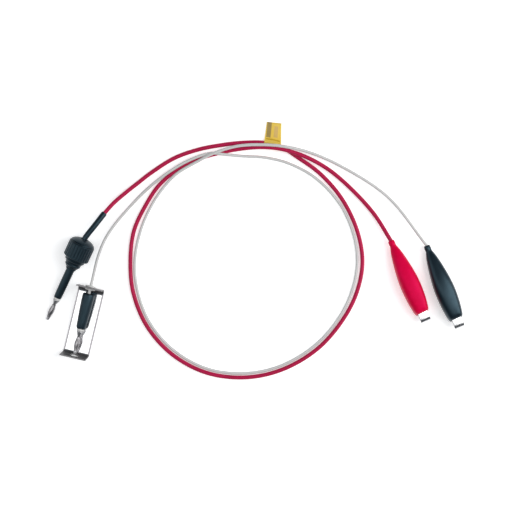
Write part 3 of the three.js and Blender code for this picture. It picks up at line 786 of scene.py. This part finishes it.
def between_stations(stations, pieces):
    """The stations, joined by a smooth curve and cut into many."""
    line = []
    for i in range(len(stations) - 1):
        a, b = stations[max(i - 1, 0)], stations[i]
        c, d = stations[i + 1], stations[min(i + 2, len(stations) - 1)]
        steps = max(2, round(pieces * (c[0] - b[0]) / stations[-1][0]))
        for k in range(steps):
            t = k / steps
            station = []
            for j in range(len(b)):
                slope_in = (c[j] - a[j]) / max(c[0] - a[0], 1e-6) * (c[0] - b[0])
                slope_out = (d[j] - b[j]) / max(d[0] - b[0], 1e-6) * (c[0] - b[0])
                station.append(
                    b[j] * (2 * t ** 3 - 3 * t ** 2 + 1) + slope_in * (t ** 3 - 2 * t ** 2 + t)
                    + c[j] * (3 * t ** 2 - 2 * t ** 3) + slope_out * (t ** 3 - t ** 2)
                )
            line.append(station)
    line.append(list(stations[-1]))
    return line


def boot_ring(station, shrink, least, sides=72):
    """One ring of a boot's skin, shrunk by a wall's thickness but not below the least radius."""
    s, width, height, centre, roundness = station
    half_width = max(width / 2 - shrink, least)
    half_height = max(height / 2 - shrink, least)
    slant = MOUTH_SLANT * min(1, max(0, (s - 62) / 17)) ** 1.5
    ring = []
    for i in range(sides):
        angle = 2 * math.pi * i / sides
        c, d = math.cos(angle), math.sin(angle)
        y = half_width * math.copysign(abs(c) ** (2 / roundness), c)
        z = half_height * math.copysign(abs(d) ** (2 / roundness), d)
        ring.append(Vector((s - slant * z, y, centre + z)))
    return ring


JAW_SHEET = 0.8
SHOULDER_R = 1.6
RIVET_R = 1.6
FACING_SIDEWAYS = 0.45


def channel(name, outline, hollow, width, matrix, hole_at, is_shoulder):
    """A jaw bent from sheet: its side outline less the hollow between its walls. The walls take the
    second material, a darker nickel painted on as shade."""
    jaw = prism(name, rounded(outline, 0.5, steps=3), width, matrix)
    round_shoulders(jaw, matrix, width, is_shoulder)
    inside = prism(name + " hollow", hollow, width - 2 * JAW_SHEET, matrix)
    turn = Matrix.Rotation(math.radians(90), 4, "Z")
    hole = lathe(name + " hole", [(-9, 0), (-9, RIVET_R), (9, RIVET_R), (9, 0)],
                 matrix @ Matrix.Translation((hole_at[0], 0, hole_at[1])) @ turn, 32)
    cut(jaw, inside, hole)
    across = (matrix.to_3x3() @ Vector((0, 1, 0))).normalized()
    for face in jaw.data.polygons:
        # Faces that face sideways, the jaw's walls, get the darker nickel as painted shade.
        face.material_index = 1 if abs(face.normal.dot(across)) > FACING_SIDEWAYS else 0
    soften_edges(jaw, 0.28)
    return jaw


def round_shoulders(jaw, matrix, width, is_shoulder):
    """Roll the two long outer edges of a bent jaw, where the sheet turns down into its walls."""
    back = (Matrix.Scale(MM, 4) @ matrix).inverted()
    sheet = bmesh.new()
    sheet.from_mesh(jaw.data)
    rolled = []
    for edge in sheet.edges:
        a, b = (back @ v.co for v in edge.verts)
        middle = (a + b) / 2
        along = abs(a.y - b.y) < 0.01 and abs(abs(middle.y) - width / 2) < 0.01
        if along and is_shoulder(middle.x, middle.z):
            rolled.append(edge)
    bmesh.ops.bevel(sheet, geom=rolled, offset=SHOULDER_R * MM, segments=5, profile=0.5,
                    affect="EDGES", clamp_overlap=True)
    sheet.to_mesh(jaw.data)
    sheet.free()


def tooth_line(root, tip, start, step, count=6):
    """A row of teeth, between the heights of their roots and their tips."""
    line = []
    for i in range(count):
        line += [(start + step * i, tip), (start + step * (i + 0.5), root)]
    return line


UPPER_JAW = [
    (33, 13.4), (33, 14.2), (48, 14.6), (60, 14.2), (74, 13.7), (83, 13.4), (85.6, 13.1),
    (87.4, 12.3), (88.6, 11.0), (89.1, 9.7), (88.2, 9.6),
] + tooth_line(10.4, 9.6, 86.8, -2.5) + [
    (70, 9.8), (64, 8.0), (60.5, 5.9), (57, 5.2), (53.5, 5.9), (50, 10.0), (47, 13.7),
]
UPPER_HOLLOW = [
    (45, 2), (45, 13.75), (48, 13.8), (60, 13.4), (74, 12.9), (84, 12.55), (86.8, 11.6),
    (88.1, 9.9), (88.1, 2),
]
LOWER_JAW = [
    (22, 4.4), (48, 3.4), (57, 4.0), (70, 4.8), (83, 5.2), (86.0, 5.6), (87.8, 6.5), (88.7, 7.8),
    (88.9, 8.9), (88.0, 9.0),
] + tooth_line(8.1, 9.0, 86.8, -2.5) + [
    (70, 9.0), (63, 11.0), (60, 12.1), (57, 12.6), (54, 12.1), (50, 7.5), (46, 4.3), (22, 5.2),
]
LOWER_HOLLOW = [
    (46, 4.3), (48, 4.2), (57, 4.8), (70, 5.6), (84, 6.05), (87.0, 7.2), (87.95, 8.9), (87.95, 14),
    (46, 14),
]
PIVOT = (57, 9.3)


def add_clip(prefix, place, lead_r, vinyl, slot):
    """One clip: its soft boot over both jaws, and the upper jaw on a body of its own."""
    matrix = placed(place)
    body = prefix + "_jaw"
    stations = between_stations(BOOT, 64)
    outer = [boot_ring(station, 0, 0) for station in stations]
    inner = [boot_ring(station, BOOT_WALL + 0.3 * max(0, station[0] - 74) / 5, lead_r + 0.3)
             for station in stations]
    boot = shell(prefix + "_vinyl_boot", outer, inner, matrix)
    finish_piece(boot, None, slot, vinyl, prefix + "_clip_boot", prefix + "_clip_boot_top")
    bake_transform(boot)
    upper = channel(prefix + "_jaw_top", UPPER_JAW, UPPER_HOLLOW, 10.0, matrix, PIVOT,
                    lambda s, z: z > 10.9 or s > 88.4)
    finish_piece(upper, body, "nickel", [NICKEL, WALL_SHADE_NICKEL], prefix + "_clip_upper_jaw")
    lower = channel(prefix + "_jaw_base", LOWER_JAW, LOWER_HOLLOW, 7.8, matrix, PIVOT,
                    lambda s, z: z < 5.9 and s > 48 or s > 88)
    finish_piece(lower, "root", "nickel", [NICKEL, WALL_SHADE_NICKEL], prefix + "_clip_lower_jaw")


add_clip("hv", HV_CLIP, HV_LEAD_R, RED_VINYL, "red_vinyl")
add_clip("return", RETURN_CLIP, RETURN_LEAD_R, BLACK_VINYL, "black_vinyl")


# ---------------------------------------------------------------- pieces that keep their CAD shape

KEPT = {
    "_conductor": COPPER,
    "_clip_rivet": NICKEL,
    "_clip_spring": SPRING_STEEL,
    "_clip_screw": BRIGHT_STEEL,
    "hv_lead_tail": RED_LEAD_SKIN,
    "hv_clip_lead_tail": RED_LEAD_SKIN,
    "return_lead_tail": WHITE_LEAD_SKIN,
    "return_clip_lead_tail": WHITE_LEAD_SKIN,
}
for node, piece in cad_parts.items():
    for ending, material in KEPT.items():
        if node.endswith(ending):
            piece.data.materials.clear()
            piece.data.materials.append(material)
